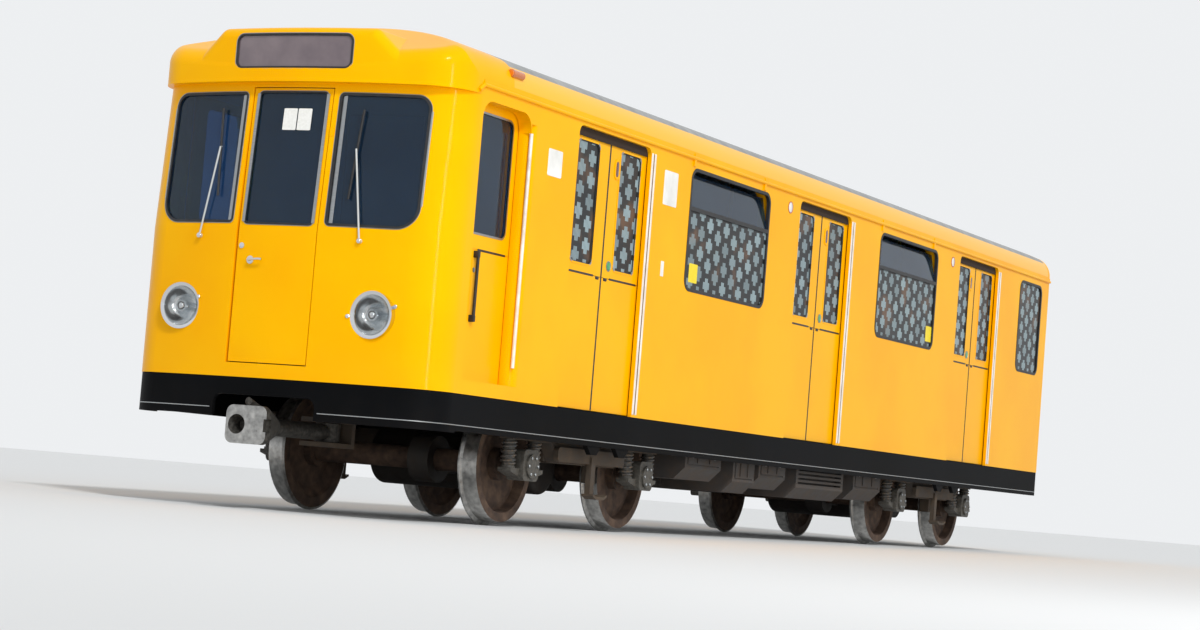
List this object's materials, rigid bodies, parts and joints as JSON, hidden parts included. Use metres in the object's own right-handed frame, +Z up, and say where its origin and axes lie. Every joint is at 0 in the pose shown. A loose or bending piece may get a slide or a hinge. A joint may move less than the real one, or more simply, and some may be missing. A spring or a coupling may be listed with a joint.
{
  "type": "metro car",
  "caption": "Narrow yellow metro motor car with a driving cab, sliding double doors and two bogies.",
  "frame": {"origin": "middle of the body on the level of the wheel flange tips", "axes": "+X towards the driving cab, +Y to the car's left side, +Z up"},
  "size_m": [12.83, 2.336, 3.2479],
  "materials": {
    "yellow_paint": "gloss",
    "black_paint": "gloss",
    "grey_paint": "satin",
    "dark_metal": "matte",
    "wheel_steel": "worn",
    "cast_steel": "rough",
    "chrome": "polished",
    "black_rubber": "matte",
    "window_glass": "clear",
    "white_laminate": "satin",
    "grey_plastic": "matte",
    "seat_cover": "woven",
    "seat_shell": "satin"
  },
  "bodies": {
    "root": {"underframe": "black_paint", "side_wall_left": "yellow_paint", "side_wall_right": "yellow_paint", "cantrails": "yellow_paint", "cab_front": "yellow_paint", "rear_end": "yellow_paint", "roof": "grey_paint", "front_dome": "yellow_paint", "front_apron": "black_paint", "gutters": "yellow_paint", "window_frames": "black_rubber", "window_glass": "window_glass", "cab_bulkhead": "white_laminate", "driver_desk": "grey_plastic", "driver_seat": "seat_cover", "benches": "seat_shell", "grab_poles": "yellow_paint", "lamps": "chrome", "wipers": "grey_paint", "roof_vents": "grey_paint", "underfloor_equipment": "dark_metal"},
    "bogie_front": {"bogie_front_frame": "dark_metal", "bogie_front_axleboxes": "dark_metal", "bogie_front_motors": "dark_metal", "bogie_front_collectors": "dark_metal"},
    "bogie_rear": {"bogie_rear_frame": "dark_metal", "bogie_rear_axleboxes": "dark_metal", "bogie_rear_motors": "dark_metal", "bogie_rear_collectors": "dark_metal"},
    "wheelset_1": {"wheelset_1": "wheel_steel"},
    "wheelset_2": {"wheelset_2": "wheel_steel"},
    "wheelset_3": {"wheelset_3": "wheel_steel"},
    "wheelset_4": {"wheelset_4": "wheel_steel"},
    "coupler_front": {"coupler_front": "cast_steel"},
    "coupler_rear": {"coupler_rear": "cast_steel"},
    "cab_door_left": {"cab_door_left": "yellow_paint"},
    "cab_door_right": {"cab_door_right": "yellow_paint"},
    "front_door": {"front_door": "yellow_paint"},
    "rear_door": {"rear_door": "yellow_paint"},
    "bulkhead_door": {"bulkhead_door": "white_laminate"},
    "leaf_left_1_front": {"leaf_left_1_front": "yellow_paint"},
    "leaf_left_1_rear": {"leaf_left_1_rear": "yellow_paint"},
    "leaf_left_2_front": {"leaf_left_2_front": "yellow_paint"},
    "leaf_left_2_rear": {"leaf_left_2_rear": "yellow_paint"},
    "leaf_left_3_front": {"leaf_left_3_front": "yellow_paint"},
    "leaf_left_3_rear": {"leaf_left_3_rear": "yellow_paint"},
    "leaf_right_1_front": {"leaf_right_1_front": "yellow_paint"},
    "leaf_right_1_rear": {"leaf_right_1_rear": "yellow_paint"},
    "leaf_right_2_front": {"leaf_right_2_front": "yellow_paint"},
    "leaf_right_2_rear": {"leaf_right_2_rear": "yellow_paint"},
    "leaf_right_3_front": {"leaf_right_3_front": "yellow_paint"},
    "leaf_right_3_rear": {"leaf_right_3_rear": "yellow_paint"}
  },
  "joints": [
    {"name": "bogie_front_swivel", "type": "hinge", "parent": "root", "child": "bogie_front", "pos_m": [3.6, 0, 0.528], "axis": [0, 0, 1], "range_deg": [-4, 4]},
    {"name": "bogie_rear_swivel", "type": "hinge", "parent": "root", "child": "bogie_rear", "pos_m": [-3.6, 0, 0.528], "axis": [0, 0, 1], "range_deg": [-4, 4]},
    {"name": "wheelset_1_turn", "type": "hinge", "parent": "bogie_front", "child": "wheelset_1", "pos_m": [4.5, 0, 0.418], "axis": [0, 1, 0], "continuous": true},
    {"name": "wheelset_2_turn", "type": "hinge", "parent": "bogie_front", "child": "wheelset_2", "pos_m": [2.7, 0, 0.418], "axis": [0, 1, 0], "continuous": true},
    {"name": "wheelset_3_turn", "type": "hinge", "parent": "bogie_rear", "child": "wheelset_3", "pos_m": [-2.7, 0, 0.418], "axis": [0, 1, 0], "continuous": true},
    {"name": "wheelset_4_turn", "type": "hinge", "parent": "bogie_rear", "child": "wheelset_4", "pos_m": [-4.5, 0, 0.418], "axis": [0, 1, 0], "continuous": true},
    {"name": "coupler_front_swing", "type": "hinge", "parent": "root", "child": "coupler_front", "pos_m": [5.45, 0, 0.528], "axis": [0, 0, 1], "range_deg": [-12, 12]},
    {"name": "coupler_rear_swing", "type": "hinge", "parent": "root", "child": "coupler_rear", "pos_m": [-5.45, 0, 0.528], "axis": [0, 0, 1], "range_deg": [-12, 12]},
    {"name": "cab_door_left_swing", "type": "hinge", "parent": "root", "child": "cab_door_left", "pos_m": [5.112, 1, 1.728], "axis": [0, 0, -1], "range_deg": [0, 88]},
    {"name": "cab_door_right_swing", "type": "hinge", "parent": "root", "child": "cab_door_right", "pos_m": [5.112, -1, 1.728], "axis": [0, 0, 1], "range_deg": [0, 88]},
    {"name": "front_door_swing", "type": "hinge", "parent": "root", "child": "front_door", "pos_m": [6.126, 0.296, 1.728], "axis": [0, 0, -1], "range_deg": [0, 88]},
    {"name": "rear_door_swing", "type": "hinge", "parent": "root", "child": "rear_door", "pos_m": [-6.193, 0.296, 1.728], "axis": [0, 0, 1], "range_deg": [0, 88]},
    {"name": "bulkhead_door_swing", "type": "hinge", "parent": "root", "child": "bulkhead_door", "pos_m": [5.008, 0.296, 1.728], "axis": [0, 0, -1], "range_deg": [0, 88]},
    {"name": "leaf_left_1_front_slide", "type": "slide", "parent": "root", "child": "leaf_left_1_front", "axis": [1, 0, 0], "range_m": [0, 0.52]},
    {"name": "leaf_left_1_rear_slide", "type": "slide", "parent": "root", "child": "leaf_left_1_rear", "axis": [-1, 0, 0], "range_m": [0, 0.52]},
    {"name": "leaf_left_2_front_slide", "type": "slide", "parent": "root", "child": "leaf_left_2_front", "axis": [1, 0, 0], "range_m": [0, 0.52]},
    {"name": "leaf_left_2_rear_slide", "type": "slide", "parent": "root", "child": "leaf_left_2_rear", "axis": [-1, 0, 0], "range_m": [0, 0.52]},
    {"name": "leaf_left_3_front_slide", "type": "slide", "parent": "root", "child": "leaf_left_3_front", "axis": [1, 0, 0], "range_m": [0, 0.52]},
    {"name": "leaf_left_3_rear_slide", "type": "slide", "parent": "root", "child": "leaf_left_3_rear", "axis": [-1, 0, 0], "range_m": [0, 0.52]},
    {"name": "leaf_right_1_front_slide", "type": "slide", "parent": "root", "child": "leaf_right_1_front", "axis": [1, 0, 0], "range_m": [0, 0.52]},
    {"name": "leaf_right_1_rear_slide", "type": "slide", "parent": "root", "child": "leaf_right_1_rear", "axis": [-1, 0, 0], "range_m": [0, 0.52]},
    {"name": "leaf_right_2_front_slide", "type": "slide", "parent": "root", "child": "leaf_right_2_front", "axis": [1, 0, 0], "range_m": [0, 0.52]},
    {"name": "leaf_right_2_rear_slide", "type": "slide", "parent": "root", "child": "leaf_right_2_rear", "axis": [-1, 0, 0], "range_m": [0, 0.52]},
    {"name": "leaf_right_3_front_slide", "type": "slide", "parent": "root", "child": "leaf_right_3_front", "axis": [1, 0, 0], "range_m": [0, 0.52]},
    {"name": "leaf_right_3_rear_slide", "type": "slide", "parent": "root", "child": "leaf_right_3_rear", "axis": [-1, 0, 0], "range_m": [0, 0.52]}
  ],
  "couplings": [
    {"joint": "leaf_left_1_rear_slide", "follows": "leaf_left_1_front_slide", "ratio": 1},
    {"joint": "leaf_left_2_rear_slide", "follows": "leaf_left_2_front_slide", "ratio": 1},
    {"joint": "leaf_left_3_rear_slide", "follows": "leaf_left_3_front_slide", "ratio": 1},
    {"joint": "leaf_right_1_rear_slide", "follows": "leaf_right_1_front_slide", "ratio": 1},
    {"joint": "leaf_right_2_rear_slide", "follows": "leaf_right_2_front_slide", "ratio": 1},
    {"joint": "leaf_right_3_rear_slide", "follows": "leaf_right_3_front_slide", "ratio": 1}
  ]
}
